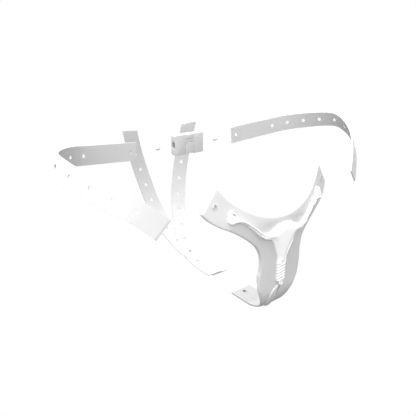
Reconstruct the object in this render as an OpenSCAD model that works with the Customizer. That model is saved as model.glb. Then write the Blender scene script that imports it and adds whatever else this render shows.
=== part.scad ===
// Adjustable neck brace: a padded front shell with a raised rib, two ring straps and two rear
// straps with rows of holes, and a push-button buckle with two catch balls. The pieces lie a
// little apart, in the order they go together, and slide along X and Y to meet.
// +Z is up, +Y is the back of the neck, and the origin is the middle of the neck opening.

/* [Front shell] */
// Outer radius of the shell, about an upright axis behind the neck
shell_r = 191; // [175:1:205]
// Wall of the moulded shell
shell_wall = 2.4; // [1.8:0.1:3.2]
// Thickness of the soft liner behind the shell
liner_wall = 1.2; // [0.8:0.1:2]
// Depth of the padded rim under the chin, from the shell's outer face
chin_pad_d = 5.3; // [4.4:0.1:7]
// Height of the padded rim under the chin
chin_pad_h = 4.5; // [3:0.1:6]
// Radius lost for each mm of height above the bend line
arm_lean = 0.2; // [0.1:0.01:0.4]
// Radius of the cut-out under the chin
chin_r = 76; // [70:1:82]
// Half width of the stem
stem_half_w = 26; // [22:1:30]
// Half width of the foot tongue
foot_half_w = 12; // [9:0.5:15]
// Depth of the underside of the foot below the origin
foot_drop = 139.2; // [130:0.2:150]
// Radius of the curl from the stem into the foot
curl_r = 32.5; // [30:0.5:40]

/* [Rib] */
// Height of the raised rib above the shell
rib_h = 4.5; // [3:0.1:6]
// Number of folds in the ribbed neck of the rib
fold_count = 6; // [4:1:8]
// Distance from one fold to the next
fold_pitch = 2.9; // [2.4:0.1:3.2]
// Bore of the eyelet below the folds
eyelet_bore = 2.2; // [1.6:0.1:2.6]

/* [Straps] */
// Width of every strap
strap_w = 18.6; // [15:0.1:22]
// Thickness of every strap
strap_t = 1; // [0.8:0.1:1.4]
// Diameter of the adjusting holes
strap_hole_d = 4; // [3:0.1:5]
// Distance between the holes of a ring strap
ring_pitch = 19.1; // [17:0.1:20]
// Distance between the holes of a rear strap
rear_pitch = 19.9; // [18:0.1:21]

/* [Grommets] */
// Bore of the three grommets in the shell
grommet_bore = 3.2; // [2.6:0.1:4.4]
// Wall of a grommet's tube
grommet_wall = 0.6; // [0.5:0.1:1.2]
// Width of a grommet's flange beyond its tube
grommet_lip = 0.4; // [0.3:0.1:1.5]

/* [Buckle] */
// Width of the buckle
buckle_w = 36; // [32:0.5:42]
// Height of the buckle
buckle_h = 21.8; // [20:0.2:26]
// Depth of the buckle
buckle_d = 8.8; // [8.6:0.1:10]
// Wall of the buckle covers
cover_wall = 1.4; // [1.2:0.1:1.8]
// Width of the push button
button_w = 10.4; // [8:0.1:12]
// Height of the push button
button_h = 12.4; // [9:0.1:13]
// Travel of the push button
button_travel = 1.5; // [1:0.1:2]
// Diameter of the catch balls
ball_d = 5.4; // [4.4:0.1:5.6]
// Diameter of the cover screws' heads
screw_head_d = 3; // [2.4:0.1:3.4]

/* [Hidden] */
$fn = 48;

gap = 0.3;                 // free space round pieces that move
fit = 0.15;                // free space round pieces that are dropped in
far = 400;                 // longer than any cut
stem_y = -76.5;            // the stem's outer face on the middle line
axis_y = stem_y + shell_r; // upright axis of the shell's curve
bend_z = -39.5;            // the arms lean inwards above this height
rim_z = 4;                 // top of the uncut shell wall
foot_z = -foot_drop;
tip_r = axis_y + 22;       // the foot ends this far from the axis
liner_low_z = -98;
lean_angle = atan(arm_lean);

// ---- Curves ----

function unit(v) = v / norm(v);

// One point of a smooth curve through the points of p
function curve_at(p, i, t) =
  let (n = len(p) - 1,
       b = p[i],
       c = p[i + 1],
       a = i > 0 ? p[i - 1] : 2 * b - c,
       d = i + 1 < n ? p[i + 2] : 2 * c - b)
  0.5 * (2 * b + (c - a) * t + (2 * a - 5 * b + 4 * c - d) * t * t + (3 * b - a - 3 * c + d) * t * t * t);

function smooth(p, steps) =
  [for (i = [0 : len(p) - 2]) for (k = [0 : steps - 1]) curve_at(p, i, k / steps), p[len(p) - 1]];

function arc(centre, r, a0, a1, steps) =
  [for (k = [0 : steps]) let (a = a0 + (a1 - a0) * k / steps) centre + r * [cos(a), sin(a)]];

// Length along a curve to each of its points
function lengths(p) =
  [for (i = 0, s = 0; i < len(p); s = s + norm(p[min(i + 1, len(p) - 1)] - p[i]), i = i + 1) s];

function flip_x(p) = [for (i = [len(p) - 1 : -1 : 0]) [-p[i][0], p[i][1]]];

// ---- Front shell ----

// Radius of the shell's outer face at a height
function face_r(z) = shell_r - arm_lean * max(0, z - bend_z);

// Half section of a layer of the shell, between two distances outside its outer face
function layer(inner, outer) =
  let (c = [shell_r - curl_r, foot_z + curl_r])
  concat(
    [[face_r(rim_z) + outer, rim_z], [shell_r + outer, bend_z]],
    arc(c, curl_r + outer, 0, -90, 12),
    [[tip_r, foot_z - outer], [tip_r, foot_z - inner]],
    arc(c, curl_r + inner, -90, 0, 12),
    [[shell_r + inner, bend_z], [face_r(rim_z) + inner, rim_z]]);

module shell_layer(inner, outer) {
  translate([0, axis_y, 0])
    rotate_extrude($fn = 180)
      polygon(layer(inner, outer));
}

// A flat outline, x and z, carried forwards through the shell
module forwards(outline) {
  translate([0, axis_y, 0])
    rotate([90, 0, 0])
      linear_extrude(height = far)
        polygon(outline);
}

chin_c = [0, chin_r - 36.5];
arm_tip = [58.5, -9];
arm_heel = [76.6, -24.5];
arm_low = [arm_heel, [71.5, -31], [63.5, -36.8], [54.5, -41.6], [45.5, -47.4], [36.5, -54.4], [29, -62.5]];
foot_tip = [foot_half_w, foot_z - 6];
// The stem is not the same on both sides: its left side steps out and runs lower before it narrows
stem_right = [[stem_half_w, -73], [stem_half_w, -88], [stem_half_w - 1.8, -101],
  [stem_half_w - 6.4, -111], [foot_half_w + 3.2, -120.5], [foot_half_w + 0.6, -129], [foot_half_w, -134]];
stem_left = [[stem_half_w - 1.2, -73], [stem_half_w - 1.2, -86], [stem_half_w + 1, -91],
  [stem_half_w + 1, -103], [stem_half_w - 0.7, -109.5], [stem_half_w - 3.8, -116.4],
  [foot_half_w + 5, -126], [foot_half_w + 1, -132], [foot_half_w, -136]];
function side_of_shell(stem, low_z) =
  [for (p = smooth(concat(arm_low, stem, [foot_tip]), 4)) if (p[1] >= low_z) p];
function shell_outline(low_z = foot_z - 6) =
  let (a = asin(arm_tip[0] / chin_r))
  concat(
    arc(chin_c, chin_r, -90 - a, -90 + a, 36),
    [arm_tip], side_of_shell(stem_right, low_z),
    flip_x(side_of_shell(stem_left, low_z)), [[-arm_tip[0], arm_tip[1]]]);

// Turns to a point of the shell's outer face, with +Z pointing out of the face
module on_face(x, z) {
  r = face_r(z);
  lean = z > bend_z ? lean_angle : 0;
  translate([0, axis_y, 0])
    rotate([0, 0, asin(x / r) - 90])
      translate([r, 0, z])
        rotate([0, 90 - lean, 0])
          children();
}

arm_hole = [66, -19];
foot_hole_y = -27.6;
grommet_r = grommet_bore / 2 + grommet_wall;
pad_wall = shell_wall + liner_wall;
chin_end = 57;             // the rim stops short of the arms' ends

module grommet_holes() {
  for (side = [-1, 1])
    on_face(side * arm_hole[0], arm_hole[1])
      translate([0, 0, -20])
        cylinder(r = grommet_r, h = 40);
  translate([0, foot_hole_y, foot_z - 5])
    cylinder(r = grommet_r, h = 20);
}

rivet_places = [[-52.5, -29], [52.5, -29], [0, -50], [-2, -72]];
rivet_r = 1.2;
module rivet_holes() {
  for (p = rivet_places)
    on_face(p[0], p[1])
      translate([0, 0, -shell_wall - 1])
        cylinder(r = rivet_r, h = shell_wall + 2);
}

// Blind groove beside the rib's tail
slot_depth = 1.9;
slot_line = [[-1.2, -105], [-0.4, -106.6], [-2.6, -111.4], [-3.8, -116.5], [-5, -116.5], [-4, -110.6], [-2.4, -105.6]];

module front_shell() {
  color("gainsboro")
    difference() {
      intersection() {
        shell_layer(-shell_wall, 0);
        forwards(shell_outline());
      }
      grommet_holes();
      rivet_holes();
      intersection() {
        shell_layer(-slot_depth, 1);
        forwards(slot_line);
      }
    }
}

module pad_liner() {
  color("whitesmoke")
    difference() {
      intersection() {
        shell_layer(-pad_wall, -shell_wall);
        forwards(shell_outline(liner_low_z));
      }
      grommet_holes();
      for (p = rivet_places)
        on_face(p[0], p[1])
          translate([0, 0, -pad_wall - 0.5])
            cylinder(r = rivet_r + 1.2, h = liner_wall + 0.8);
    }
}

// Padded rim that follows the cut-out behind the liner
module chin_pad() {
  a = asin(chin_end / chin_r);
  color("whitesmoke")
    intersection() {
      shell_layer(-chin_pad_d, -pad_wall);
      forwards(concat(
        arc(chin_c, chin_r, -90 - a, -90 + a, 36),
        arc(chin_c, chin_r + chin_pad_h, -90 + a, -90 - a, 36)));
    }
}

// ---- Rib ----

rib_shift = -2;            // the rib's neck lies this far to the right-hand side of the wearer
rib_rise_z = -74;          // and its outline comes back to the middle from here up
yoke_low_z = -81.5;
yoke_top = [[0, -43.5], [8, -44.2], [16, -48.2], [21.5, -49], [28, -45], [34.5, -39.2], [41, -34.6],
  [46, -31.6], [49, -28.2], [51, -24.4], [53.8, -23.2], [56, -25.4], [56.2, -29.4], [56.6, -32.2],
  [55, -34.4], [51.6, -34.2], [48.5, -33.4]];
yoke_low = [[48.5, -33.4], [42, -37], [35.5, -43.2], [29, -50.6], [22.5, -55], [15.5, -58], [11, -64],
  [5.8, -73], [4.3, -77.5], [5, yoke_low_z]];
function yoke_half() = concat(smooth(yoke_top, 4), smooth(yoke_low, 4));
function shifted(p) = [for (q = p) [q[0] + rib_shift * min(1, max(0, (q[1] + 58) / (rib_rise_z + 58))), q[1]]];

module rib_yoke() {
  color("white")
    difference() {
      intersection() {
        shell_layer(0, rib_h);
        forwards(shifted(concat(yoke_half(), flip_x(yoke_half()))));
      }
      for (p = rivet_places)
        on_face(p[0], p[1])
          translate([0, 0, -1])
            cylinder(r = rivet_r, h = 3);
    }
}

fold_r = fold_pitch / 2 - 0.1;
fold_half_w = 4.8;
folds_low_z = yoke_low_z - fold_count * fold_pitch - 0.6;
module rib_folds() {
  color("white")
    intersection() {
      shell_layer(0, rib_h + 2);
      union() {
        translate([rib_shift - fold_half_w + 0.8, -far / 4, folds_low_z])
          cube([2 * fold_half_w - 1.6, far / 4 + stem_y + 2, yoke_low_z - folds_low_z]);
        for (k = [0 : fold_count - 1])
          translate([rib_shift - fold_half_w, stem_y - 2, yoke_low_z - (k + 0.5) * fold_pitch])
            rotate([0, 90, 0])
              cylinder(r = fold_r + 0.6, h = 2 * fold_half_w);
      }
      translate([-far / 2, -far / 2, folds_low_z])
        cube([far, far, yoke_low_z - folds_low_z]);
      translate([0, axis_y, 0])
        cylinder(r = shell_r + 2.8, h = far, center = true, $fn = 180);
    }
}

eyelet_r = 2.4;
eyelet_z = folds_low_z - eyelet_r - 0.2;
module rib_eyelet() {
  color("white")
    intersection() {
      shell_layer(0, rib_h - 0.9);
      difference() {
        translate([rib_shift, -20, eyelet_z])
          rotate([90, 0, 0])
            cylinder(r = eyelet_r, h = far);
        translate([rib_shift, -20, eyelet_z])
          rotate([90, 0, 0])
            cylinder(d = eyelet_bore, h = far);
      }
    }
}

// Flat band that leads from the eyelet down round the curl
tail_left = [[-4.6, eyelet_z - 2.7], [-8.2, eyelet_z - 4.6], [-11, eyelet_z - 8], [-12.6, eyelet_z - 12],
  [-13, eyelet_z - 17], [-12.2, eyelet_z - 23], [-10, eyelet_z - 28]];
tail_right = [[-5.6, eyelet_z - 28], [-6, eyelet_z - 19], [-5.6, eyelet_z - 12.6], [-4.4, eyelet_z - 7.4],
  [-2.4, eyelet_z - 2.8]];
module rib_tail() {
  color("white")
    intersection() {
      shell_layer(0, rib_h - 1.6);
      forwards(concat(smooth(tail_left, 3), smooth(tail_right, 3)));
    }
}

module rib_rivets() {
  color("silver")
    for (p = rivet_places)
      on_face(p[0], p[1]) {
        translate([0, 0, -shell_wall - 0.8])
          cylinder(r = rivet_r + 1, h = 0.7);
        translate([0, 0, -shell_wall - 0.3])
          cylinder(r = rivet_r - 0.02, h = shell_wall + 2);
      }
}

// ---- Grommets ----

lip_t = 0.3;               // thickness of a grommet's lips
snug = 0.02;               // free space round pieces that are pressed in

// Tube from -length to 0 with a lip just past each end
module grommet(length) {
  difference() {
    union() {
      translate([0, 0, -length - lip_t])
        cylinder(r = grommet_r - snug, h = length + 2 * lip_t);
      for (z = [snug, -length - lip_t - snug])
        translate([0, 0, z])
          cylinder(r = grommet_r + grommet_lip, h = lip_t);
    }
    translate([0, 0, -length - 2 * lip_t])
      cylinder(d = grommet_bore, h = length + 4 * lip_t);
  }
}

curve_room = 0.05;         // lifts the flat lips clear of the curved shell
arm_tube = pad_wall * cos(lean_angle) + 2 * curve_room;
module arm_grommet(side) {
  color("gainsboro")
    on_face(side * arm_hole[0], arm_hole[1])
      translate([0, 0, curve_room])
        grommet(arm_tube);
}

module foot_grommet() {
  color("gainsboro")
    translate([0, foot_hole_y, foot_z + shell_wall])
      grommet(shell_wall);
}

// ---- Straps ----

// A strap of rectangular section along a smooth route. The strap's width lies along side_a at
// its start and side_b at its end, as square to the route as it can. Holes are given by their
// distance from the start.
module strap(route, side_a, side_b, holes) {
  p = smooth(route, 10);
  s = lengths(p);
  total = s[len(s) - 1];
  tx = [for (i = [0 : len(p) - 1]) [s[i], p[i][0]]];
  ty = [for (i = [0 : len(p) - 1]) [s[i], p[i][1]]];
  tz = [for (i = [0 : len(p) - 1]) [s[i], p[i][2]]];
  function at(d) = [lookup(d, tx), lookup(d, ty), lookup(d, tz)];
  function along(d) = unit(at(min(total, d + 2)) - at(max(0, d - 2)));
  function blend(d) = let (f = d / total) f * f * (3 - 2 * f);
  function side(d) =
    let (t = along(d),
         v = side_a + (side_b - side_a) * blend(d))
    unit(v - (v * t) * t);
  function ring(d) =
    let (w = side(d) * strap_w / 2,
         n = cross(along(d), side(d)) * strap_t / 2)
    [at(d) + w + n, at(d) + w - n, at(d) - w - n, at(d) - w + n];
  stations = 48;
  last = 4 * stations;
  difference() {
    polyhedron(
      points = [for (k = [0 : stations]) each ring(total * k / stations)],
      faces = concat(
        [[0, 1, 2], [0, 2, 3], [last, last + 2, last + 1], [last, last + 3, last + 2]],
        [for (k = [0 : stations - 1]) for (j = [0 : 3])
          let (a = 4 * k + j, b = 4 * k + (j + 1) % 4) each [[a, b + 4, b], [a, a + 4, b + 4]]]),
      convexity = 6);
    for (d = holes) {
      t = along(d);
      w = side(d);
      n = cross(t, w);
      c = at(d);
      multmatrix([[t[0], w[0], n[0], c[0]], [t[1], w[1], n[1], c[1]], [t[2], w[2], n[2], c[2]]])
        cylinder(d = strap_hole_d, h = 6, center = true);
    }
  }
}

strap_back_x = buckle_w / 2 + 45; // the ring straps start this far from the middle
ring_route = [[strap_back_x, 72, 0.8], [90, 70.2, 3.2], [119.5, 65, 6.6], [137, 55.4, 10.2],
  [152, 39.5, 13.6], [164, 21, 16.4], [167.6, 6, 16.8], [163.6, -10.5, 12.2], [154.6, -26, 5.8],
  [143.6, -39, -2.2], [130.6, -50.4, -11.4], [115.6, -61.4, -26.2]];
ring_holes = concat([6.7], [for (k = [0 : 8]) 59.6 + k * ring_pitch]);

module ring_strap(side) {
  color("white")
    mirror([side < 0 ? 1 : 0, 0, 0])
      strap(ring_route, [0, 0, 1], [-0.88, -0.17, 1], ring_holes);
}

// The left rear strap passes under the right one near their lower ends
rear_route = [[43.4, 124.4, 23], [40.4, 125.4, 10.8], [34.8, 127.6, -13], [28.7, 127.2, -36.6], [23.7, 124.8, -55.6],
  [19.1, 120.4, -74.2], [14.2, 112.8, -92], [9.9, 101.2, -108.6], [4.4, 86.6, -121.6],
  [0.8, 70.6, -130], [-1.6, 52, -134], [-2.6, 34, -134.4], [-3, 17, -134.3]];
under = strap_t + strap_w / 32; // a wider strap tilts further, so the crossing needs more room
rear_drop = [0, 0, 0, 0, 0.2, 0.5, 0.8, 1, 1, 1, 1, 1, 1];
rear_away = [[0, 1, 0], [0, 1, 0], [0, 1, 0], [0, 1, 0], [0, 1, 0], [0, 0.97, -0.25], [0, 0.9, -0.44],
  [0, 0.75, -0.66], [0, 0.57, -0.82], [0, 0.35, -0.94], [0, 0.1, -1], [0, 0, -1], [0, 0, -1]];
rear_route_under = [for (k = [0 : len(rear_route) - 1]) rear_route[k] + under * rear_drop[k] * rear_away[k]];
rear_holes = [for (k = [0 : 8]) 41.6 + k * rear_pitch];

rear_top_tilt = 7;         // the top end is cut near level, not square to the strap
module rear_strap(side) {
  color("white")
    mirror([side < 0 ? 1 : 0, 0, 0])
      difference() {
        strap(side < 0 ? rear_route_under : rear_route, [1, -0.15, 0.11], [1, 0, 0], rear_holes);
        translate(rear_route[1])
          rotate([0, -rear_top_tilt, 0])
            translate([-20, -20, 0])
              cube([40, 40, 40]);
      }
}

// ---- Buckle ----

buckle_front = 67;         // the buckle's front face
buckle_low = -10.4;
buckle_back = buckle_front + buckle_d;
ball_y = 71.3;
ball_z = 0.9;
ball_x = buckle_w / 2 + 19.75;
button_low = -9.6;
button_depth = 2.6;
corner_r = 1.6;

// A box with round corners seen from the front, from y0 to y1
module plate(x0, x1, z0, z1, y0, y1, r) {
  translate([0, y1, 0])
    rotate([90, 0, 0])
      linear_extrude(height = y1 - y0)
        polygon(concat(
          arc([x1 - r, z0 + r], r, -90, 0, 6),
          arc([x1 - r, z1 - r], r, 0, 90, 6),
          arc([x0 + r, z1 - r], r, 90, 180, 6),
          arc([x0 + r, z0 + r], r, 180, 270, 6)));
}

tab_w = 9.6;
tab_h = 4.8;
buckle_top = buckle_low + buckle_h;
screw_x = 14;
screw_z = 7.6;
boss_r = 1.8;

// Posts inside the front cover that take the screws
module screw_bosses() {
  for (x = [-screw_x, screw_x])
    for (z = [-screw_z, screw_z])
      translate([x, buckle_back - cover_wall, z + 0.5])
        rotate([90, 0, 0])
          cylinder(r = boss_r, h = buckle_d - 2 * cover_wall + 0.1);
}

module screw_holes(depth) {
  for (x = [-screw_x, screw_x])
    for (z = [-screw_z, screw_z])
      translate([x, buckle_back + 1, z + 0.5])
        rotate([90, 0, 0])
          cylinder(d = 1.9, h = depth + 1);
}

module buckle_front_cover() {
  color("gainsboro")
    difference() {
      union() {
        difference() {
          plate(-buckle_w / 2, buckle_w / 2, buckle_low, buckle_top, buckle_front,
            buckle_back - cover_wall, corner_r);
          plate(-buckle_w / 2 + cover_wall, buckle_w / 2 - cover_wall, buckle_low + cover_wall,
            buckle_top - cover_wall, buckle_front + cover_wall, buckle_back, corner_r - 0.6);
        }
        screw_bosses();
      }
      screw_holes(cover_wall + 2.6);
      translate([-button_w / 2 - gap, buckle_front - 2, buckle_low - 1])
        cube([button_w + 2 * gap, 2 + button_depth + button_travel + gap,
          button_low - buckle_low + 1 + button_h + gap]);
      translate([-tab_w / 2, buckle_front - 2, buckle_top - tab_h])
        cube([tab_w, 2.8, tab_h + 2]);
      for (side = [-1, 1])
        translate([side * buckle_w / 2, ball_y, ball_z]) {
          rotate([0, 90, 0])
            cylinder(d = ball_d + 2 * gap, h = 3 * cover_wall, center = true);
          translate([-1.5 * cover_wall, 0, -ball_d / 2 - gap])
            cube([3 * cover_wall, buckle_d, ball_d + 2 * gap]);
        }
    }
}

module buckle_rear_cover() {
  color("gainsboro")
    difference() {
      plate(-buckle_w / 2, buckle_w / 2, buckle_low, buckle_top, buckle_back - cover_wall,
        buckle_back, corner_r);
      screw_holes(cover_wall + 2);
    }
}

module keeper_tab() {
  color("gainsboro")
    translate([-tab_w / 2, buckle_front - 0.5, buckle_top - tab_h])
      cube([tab_w, 1.28, tab_h - 0.3]);
}

// The button's face, with a wider flange behind the cover
module push_button() {
  color("gainsboro") {
    plate(-button_w / 2, button_w / 2, button_low + fit, button_low + button_h - fit, buckle_front - 0.5,
      buckle_front + button_depth, 0.8);
    plate(-button_w / 2 - 1, button_w / 2 + 1, buckle_low + cover_wall + gap, button_low + button_h + 0.9,
      buckle_front + cover_wall + gap, buckle_front + button_depth + 0.2, 0.5);
  }
}

socket_x0 = 9.6;
jaw_wall = 1;
bar_front = buckle_front + button_depth + 0.2;
module release_bar() {
  color("dimgray")
    translate([-7.6, bar_front, -2.2])
      cube([15.2, 1.1, 4.4]);
}

spring_r = 1.9;
wire_r = 0.22;
spring_turns = 3;
spring_front = bar_front + 1.1 + button_travel + 0.1;
spring_back = buckle_back - cover_wall - 0.02;
module button_spring() {
  steps = 12 * spring_turns;
  sides = 6;
  y0 = spring_front + wire_r;
  y1 = spring_back - wire_r;
  points = [for (k = [0 : steps]) for (j = [0 : sides - 1])
    let (a = 360 * k / 12,
         r = spring_r + wire_r * cos(360 * j / sides))
    [r * cos(a), y0 + (y1 - y0) * k / steps + wire_r * sin(360 * j / sides), r * sin(a)]];
  faces = concat(
    [[for (j = [sides - 1 : -1 : 0]) j], [for (j = [0 : sides - 1]) steps * sides + j]],
    [for (k = [0 : steps - 1]) for (j = [0 : sides - 1])
      let (a = k * sides + j, b = k * sides + (j + 1) % sides) each [[a, b, b + sides], [a, b + sides, a + sides]]]);
  color("silver")
    polyhedron(points, faces, convexity = 6);
}

// Two jaws with a hollow between them for the ball, joined at their inner end
module ball_socket(side) {
  inner = buckle_w / 2 - cover_wall;
  d = ball_d - 0.8;
  h = ball_d + 2 * gap + 2 * jaw_wall;
  color("dimgray")
    difference() {
      translate([side < 0 ? -inner : socket_x0, ball_y - d / 2, ball_z - h / 2])
        cube([inner - socket_x0, d, h]);
      translate([side * (socket_x0 + 2 * jaw_wall), ball_y, ball_z])
        rotate([0, side * 90, 0])
          cylinder(d = ball_d + 2 * gap, h = buckle_w);
    }
}

module cover_screws() {
  color("silver")
    for (x = [-screw_x, screw_x])
      for (z = [-screw_z, screw_z])
        translate([x, buckle_back, z + 0.5])
          rotate([90, 0, 0]) {
            translate([0, 0, -0.9])
              difference() {
                cylinder(d = screw_head_d, h = 0.9);
                translate([-screw_head_d, -0.25, -1])
                  cube([2 * screw_head_d, 0.5, 1.4]);
              }
            cylinder(d = 1.86, h = 2.4);
          }
}

module catch_ball(side) {
  color("white")
    translate([side * ball_x, ball_y, ball_z])
      sphere(d = ball_d);
}

front_shell();
pad_liner();
chin_pad();
rib_yoke();
rib_folds();
rib_eyelet();
rib_tail();
rib_rivets();
arm_grommet(-1);  // arm_grommet_left
arm_grommet(1);  // arm_grommet_right
foot_grommet();
buckle_front_cover();
buckle_rear_cover();
keeper_tab();
push_button();
release_bar();
button_spring();
ball_socket(-1);  // ball_socket_left
ball_socket(1);  // ball_socket_right
cover_screws();
catch_ball(-1);  // catch_ball_left
catch_ball(1);  // catch_ball_right
ring_strap(-1);  // ring_strap_left
ring_strap(1);  // ring_strap_right
rear_strap(-1);  // rear_strap_left
rear_strap(1);  // rear_strap_right
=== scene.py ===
# %% [markdown]
# # A neck brace, laid out in its pieces
#
# The object is an adjustable neck brace: a padded front shell with a raised rib down its middle,
# two straps that make a ring, two straps that cross behind and come forwards under it, and a
# push-button buckle with two catch balls. The pieces float a little apart, in the order they
# go together. The engineering model sets every size and every motion. This script gives each
# piece its rounded edges, its relief and its finish, in the same frame and the same metres.

# %% Load the frame
import math

import bpy
import numpy as np
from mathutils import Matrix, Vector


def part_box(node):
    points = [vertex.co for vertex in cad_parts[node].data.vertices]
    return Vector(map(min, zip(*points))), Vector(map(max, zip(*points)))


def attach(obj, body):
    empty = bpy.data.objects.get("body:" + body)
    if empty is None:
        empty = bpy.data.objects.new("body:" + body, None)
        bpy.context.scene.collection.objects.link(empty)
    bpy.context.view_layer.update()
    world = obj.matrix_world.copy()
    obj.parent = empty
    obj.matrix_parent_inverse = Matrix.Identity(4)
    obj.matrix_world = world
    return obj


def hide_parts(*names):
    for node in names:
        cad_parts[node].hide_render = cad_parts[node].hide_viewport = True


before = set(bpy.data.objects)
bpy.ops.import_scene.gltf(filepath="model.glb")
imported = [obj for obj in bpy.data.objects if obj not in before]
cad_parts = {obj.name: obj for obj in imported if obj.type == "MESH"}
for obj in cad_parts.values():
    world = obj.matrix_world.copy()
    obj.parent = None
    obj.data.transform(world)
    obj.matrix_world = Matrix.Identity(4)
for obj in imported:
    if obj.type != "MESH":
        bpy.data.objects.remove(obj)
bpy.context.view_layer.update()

# %% [markdown]
# ## Camera
#
# A camera can be placed by eye or by an aim point. Here its place and turn are plain values,
# because the layout is judged from one exact angle: from the front left, 21 degrees above level.

# %% Camera
bpy.ops.object.camera_add(
    location=(-0.28191, -0.33364, 0.1136),
    rotation=(math.radians(69.072), 0, math.radians(-37.446)))
camera = bpy.context.object
camera.data.lens = 39.865
camera.data.sensor_width = 36
bpy.context.scene.camera = camera
print("camera at", tuple(round(c, 3) for c in camera.location))

# %% [markdown]
# ## Studio
#
# White pieces on white need light that comes mostly from above. Then a face that looks up turns
# white, a face that looks forwards is a light grey, and a face that looks down is dark, and the
# form reads. The world is a sky that fades from bright overhead to dim below. One wide, soft
# lamp overhead adds the direction, and a second one in front and to the left lifts the faces
# turned to the viewer. The floor is a pale plane well below the pieces. It shows white, but it
# throws back only a little light, so that the undersides stay dark.

# %% Studio
bpy.context.scene.view_settings.view_transform = "Standard"
SKY_TOP = 2.0
SKY_SIDE = 0.80
SKY_LOW = 0.06

world = bpy.data.worlds.new("soft_sky")
bpy.context.scene.world = world
world.use_nodes = True
sky = world.node_tree
place = sky.nodes.new("ShaderNodeTexCoord")
axes = sky.nodes.new("ShaderNodeSeparateXYZ")
fade = sky.nodes.new("ShaderNodeValToRGB")
fade.color_ramp.elements[0].color = (SKY_LOW, SKY_LOW, SKY_LOW, 1)
fade.color_ramp.elements[1].color = (SKY_TOP, SKY_TOP, SKY_TOP, 1)
middle = fade.color_ramp.elements.new(0.5)
middle.color = (SKY_SIDE, SKY_SIDE, SKY_SIDE, 1)
height = sky.nodes.new("ShaderNodeMapRange")
height.inputs["From Min"].default_value = -1
seen = sky.nodes.new("ShaderNodeBackground")
seen.inputs["Color"].default_value = (1, 1, 1, 1)
rays = sky.nodes.new("ShaderNodeLightPath")
either = sky.nodes.new("ShaderNodeMixShader")
sky.links.new(place.outputs["Generated"], axes.inputs[0])
sky.links.new(axes.outputs["Z"], height.inputs["Value"])
sky.links.new(height.outputs["Result"], fade.inputs["Fac"])
sky.links.new(fade.outputs["Color"], sky.nodes["Background"].inputs["Color"])
sky.links.new(rays.outputs["Is Camera Ray"], either.inputs["Fac"])
sky.links.new(sky.nodes["Background"].outputs[0], either.inputs[1])
sky.links.new(seen.outputs[0], either.inputs[2])
sky.links.new(either.outputs[0], sky.nodes["World Output"].inputs["Surface"])



def add_lamp(location, turn, size, watts):
    """A round, soft lamp. Its turn is in degrees about each axis."""
    bpy.ops.object.light_add(
        type="AREA", location=location, rotation=[math.radians(angle) for angle in turn])
    lamp = bpy.context.object
    lamp.data.shape = "DISK"
    lamp.data.size = size
    lamp.data.energy = watts
    return lamp


overhead = add_lamp((-0.5, -0.2, 1.4), (-8, -19, 0), 1.1, 16)
front_lamp = add_lamp((-1.2, -1.0, 0.5), (73, 0, -50), 1.0, 7.5)

bpy.ops.mesh.primitive_plane_add(size=30, location=(0, 0, -0.42))
floor = bpy.context.object
floor.name = "floor"
pale = bpy.data.materials.new("pale_floor")
pale.use_nodes = True
nodes = pale.node_tree.nodes
dull = nodes["Principled BSDF"]
dull.inputs["Base Color"].default_value = (0.12, 0.12, 0.12, 1)
dull.inputs["Roughness"].default_value = 1
glow = nodes.new("ShaderNodeEmission")
rays = nodes.new("ShaderNodeLightPath")
either = nodes.new("ShaderNodeMixShader")
pale.node_tree.links.new(rays.outputs["Is Camera Ray"], either.inputs["Fac"])
pale.node_tree.links.new(dull.outputs[0], either.inputs[1])
pale.node_tree.links.new(glow.outputs[0], either.inputs[2])
pale.node_tree.links.new(either.outputs[0], nodes["Material Output"].inputs["Surface"])
floor.data.materials.append(pale)
print("studio: sky", SKY_TOP, SKY_SIDE, SKY_LOW, "lamps", overhead.data.energy, front_lamp.data.energy, "W")

# %% [markdown]
# ## Shared effects
#
# Moulded plastic and moulded rubber both have a fine grain from the tool, and a slow change of
# tone where the material is thicker or has been handled. Two layers of noise give both, so they
# are one node group that each material uses with its own scale. A knitted cover needs loops in
# rows: two crossed waves, one of them shifted by the other, look like the columns of a jersey.
# Both groups put out a height for a Bump node and a tone for the colour and the roughness.

# %% Shared effects
def new_group(name, scale_name):
    group = bpy.data.node_groups.new(name, "ShaderNodeTree")
    group.interface.new_socket("Vector", in_out="INPUT", socket_type="NodeSocketVector")
    group.interface.new_socket(scale_name, in_out="INPUT", socket_type="NodeSocketFloat")
    group.interface.new_socket("Height", in_out="OUTPUT", socket_type="NodeSocketFloat")
    group.interface.new_socket("Tone", in_out="OUTPUT", socket_type="NodeSocketFloat")
    start = group.nodes.new("NodeGroupInput")
    end = group.nodes.new("NodeGroupOutput")
    return group, start, end


def add_tone(group, start, end, scale):
    tone = group.nodes.new("ShaderNodeTexNoise")
    tone.inputs["Scale"].default_value = scale
    tone.inputs["Detail"].default_value = 4
    group.links.new(start.outputs["Vector"], tone.inputs["Vector"])
    group.links.new(tone.outputs["Fac"], end.inputs["Tone"])


def make_moulded_grain():
    group, start, end = new_group("moulded_grain", "Grain Scale")
    grain = group.nodes.new("ShaderNodeTexNoise")
    grain.inputs["Detail"].default_value = 3
    pits = group.nodes.new("ShaderNodeTexVoronoi")
    pits.feature = "SMOOTH_F1"
    both = group.nodes.new("ShaderNodeMath")
    both.operation = "MULTIPLY_ADD"
    both.inputs[1].default_value = 0.5
    for texture in (grain, pits):
        group.links.new(start.outputs["Vector"], texture.inputs["Vector"])
        group.links.new(start.outputs["Grain Scale"], texture.inputs["Scale"])
    group.links.new(pits.outputs["Distance"], both.inputs[0])
    group.links.new(grain.outputs["Fac"], both.inputs[2])
    group.links.new(both.outputs[0], end.inputs["Height"])
    add_tone(group, start, end, 35)
    return group


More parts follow.
